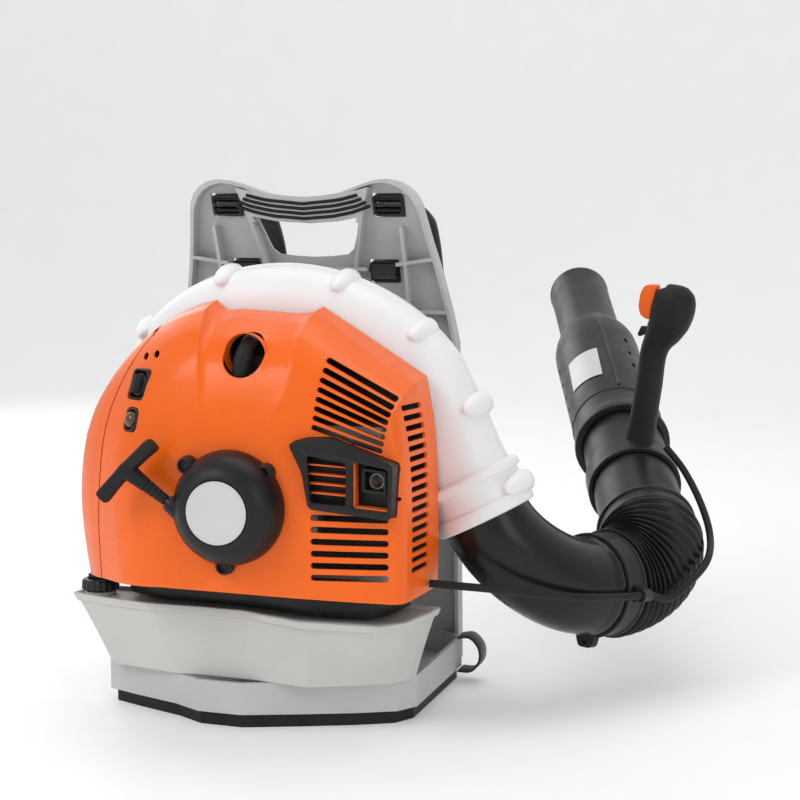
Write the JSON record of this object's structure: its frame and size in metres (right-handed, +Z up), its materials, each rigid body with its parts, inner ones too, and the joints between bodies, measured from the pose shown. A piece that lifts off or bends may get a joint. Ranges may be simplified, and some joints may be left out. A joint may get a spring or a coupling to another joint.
{
  "type": "leaf blower",
  "caption": "Backpack petrol leaf blower with a fan housing, a starter, a pleated hose and a blower tube with a control handle.",
  "frame": {"origin": "on the ground, under the middle of the back frame, below the engine", "axes": "+Z up, +Y towards the wearer's back and along the tube, +X towards the hose side"},
  "size_m": [0.6105, 0.9705, 0.518],
  "materials": {
    "orange_cover": "semi-gloss moulded plastic",
    "white_housing": "satin moulded plastic",
    "grey_frame": "satin grained plastic",
    "grey_tank": "satin blow-moulded plastic",
    "black_plastic": "satin black plastic",
    "hose_rubber": "glossy black rubber",
    "soft_rubber": "matt black rubber",
    "orange_control": "semi-gloss moulded plastic",
    "aluminium_cast": "die-cast aluminium",
    "steel": "bright steel",
    "muffler_steel": "heat-dulled steel",
    "badge_silver": "plain satin silver",
    "amber_bulb": "clear amber rubber",
    "rope_cord": "braided cord",
    "filter_felt": "pleated paper and felt",
    "webbing": "woven webbing and mesh"
  },
  "bodies": {
    "machine": {"sole": "soft_rubber", "back_frame": "grey_frame", "fuel_tank": "grey_tank", "engine_shroud": "orange_cover", "filter_cover": "orange_cover", "starter_cover": "black_plastic", "starter_badge": "badge_silver", "rewind_spring": "steel", "fan_housing_front": "white_housing", "fan_housing_rear": "white_housing", "intake_grille": "black_plastic", "rubber_mount_1": "soft_rubber", "rubber_mount_2": "soft_rubber", "rubber_mount_3": "soft_rubber", "rubber_mount_4": "soft_rubber", "crankcase": "aluminium_cast", "cylinder": "aluminium_cast", "piston": "aluminium_cast", "rocker_cover": "black_plastic", "spark_plug": "steel", "plug_boot": "soft_rubber", "muffler": "muffler_steel", "muffler_trim": "black_plastic", "carburettor": "aluminium_cast", "control_bracket": "black_plastic", "ignition_module": "black_plastic", "fuel_line": "soft_rubber", "air_filter": "filter_felt", "elbow": "black_plastic", "hose_clamp_lower": "black_plastic", "throttle_cable": "soft_rubber", "cable_clip": "black_plastic", "back_pad": "webbing", "hip_pad": "webbing", "shoulder_strap_left": "webbing", "shoulder_strap_right": "webbing", "webbing_loop_left": "webbing", "webbing_loop_right": "webbing"},
    "crank": {"crankshaft": "steel", "flywheel": "aluminium_cast", "fan_nut": "steel", "fan_wheel": "black_plastic"},
    "pulley": {"starter_pulley": "black_plastic", "rope_wound": "rope_cord"},
    "starter_grip": {"starter_grip": "black_plastic", "starter_rope": "rope_cord"},
    "choke": {"choke_knob": "black_plastic"},
    "purge": {"purge_bulb": "amber_bulb"},
    "fuel_cap": {"fuel_cap": "black_plastic"},
    "carburettor_lever": {"throttle_lever": "steel"},
    "hose": {"pleated_hose": "hose_rubber", "throttle_cable_upper": "soft_rubber"},
    "tube": {"hose_clamp_upper": "black_plastic", "handle_tube": "black_plastic"},
    "handle": {"control_handle": "black_plastic"},
    "trigger": {"throttle_trigger": "orange_control"},
    "setting_lever": {"setting_lever": "black_plastic"},
    "front_tube": {"coupling_sleeve": "black_plastic", "nozzle": "black_plastic"}
  },
  "joints": [
    {"name": "crank_spin", "type": "hinge", "parent": "machine", "child": "crank", "pos_m": [0.01, 0, 0.216], "axis": [0, 1, 0], "continuous": true},
    {"name": "pulley_turn", "type": "hinge", "parent": "machine", "child": "pulley", "pos_m": [0.01, -0.164, 0.216], "axis": [0, 1, 0], "range_deg": [0, 1540], "stiffness_Nm_per_rad": 0.01, "springref_deg": -802.14},
    {"name": "starter_pull", "type": "slide", "parent": "machine", "child": "starter_grip", "axis": [-0.8299, 0, 0.5579], "range_m": [0, 0.7], "deforming": ["starter_rope"]},
    {"name": "choke_turn", "type": "hinge", "parent": "machine", "child": "choke", "pos_m": [-0.0945, -0.1165, 0.324], "axis": [-0.5501, -0.7902, 0.2701], "range_deg": [0, 90]},
    {"name": "purge_press", "type": "slide", "parent": "machine", "child": "purge", "axis": [0.5501, 0.7902, -0.2701], "range_m": [0, 0.004], "stiffness_N_per_m": 1500, "springref_m": -0.0005},
    {"name": "fuel_cap_turn", "type": "hinge", "parent": "machine", "child": "fuel_cap", "pos_m": [-0.161, -0.069, 0.113], "axis": [0, 0, 1], "range_deg": [0, 120]},
    {"name": "hose_swing", "type": "hinge", "parent": "machine", "child": "hose", "pos_m": [0.33977, 0.15155, 0.12028], "axis": [0, 0, 1], "range_deg": [-20, 20], "deforming": ["pleated_hose", "throttle_cable_upper"]},
    {"name": "hose_lift", "type": "hinge", "parent": "hose", "child": "tube", "pos_m": [0.33977, 0.15155, 0.12028], "axis": [0.9472, 0.3207, 0], "range_deg": [-25, 20], "deforming": ["pleated_hose", "throttle_cable_upper"]},
    {"name": "handle_adjust", "type": "hinge", "parent": "tube", "child": "handle", "pos_m": [0.30538, 0.30415, 0.18597], "axis": [-0.3002, 0.8865, 0.3522], "range_deg": [-15, 30], "deforming": ["throttle_cable_upper"]},
    {"name": "trigger_squeeze", "type": "hinge", "parent": "handle", "child": "trigger", "pos_m": [0.32811, 0.30042, 0.40298], "axis": [-0.1522, -0.9883, -0.0011], "range_deg": [0, 12], "stiffness_Nm_per_rad": 1, "springref_deg": -5.73},
    {"name": "lever_set", "type": "hinge", "parent": "handle", "child": "setting_lever", "pos_m": [0.319, 0.30187, 0.35583], "axis": [0.1522, 0.9883, 0.0011], "range_deg": [0, 40]},
    {"name": "throttle_open", "type": "hinge", "parent": "machine", "child": "carburettor_lever", "pos_m": [-0.079, -0.0995, 0.287], "axis": [0, 1, 0], "range_deg": [0, 40]},
    {"name": "tube_twist", "type": "hinge", "parent": "tube", "child": "front_tube", "pos_m": [0.27836, 0.38394, 0.21766], "axis": [-0.3002, 0.8865, 0.3522], "range_deg": [0, 25]}
  ],
  "couplings": [
    {"joint": "starter_pull", "follows": "pulley_turn", "m_per_rad": 0.026},
    {"joint": "throttle_open", "follows": "trigger_squeeze", "ratio": 3}
  ]
}
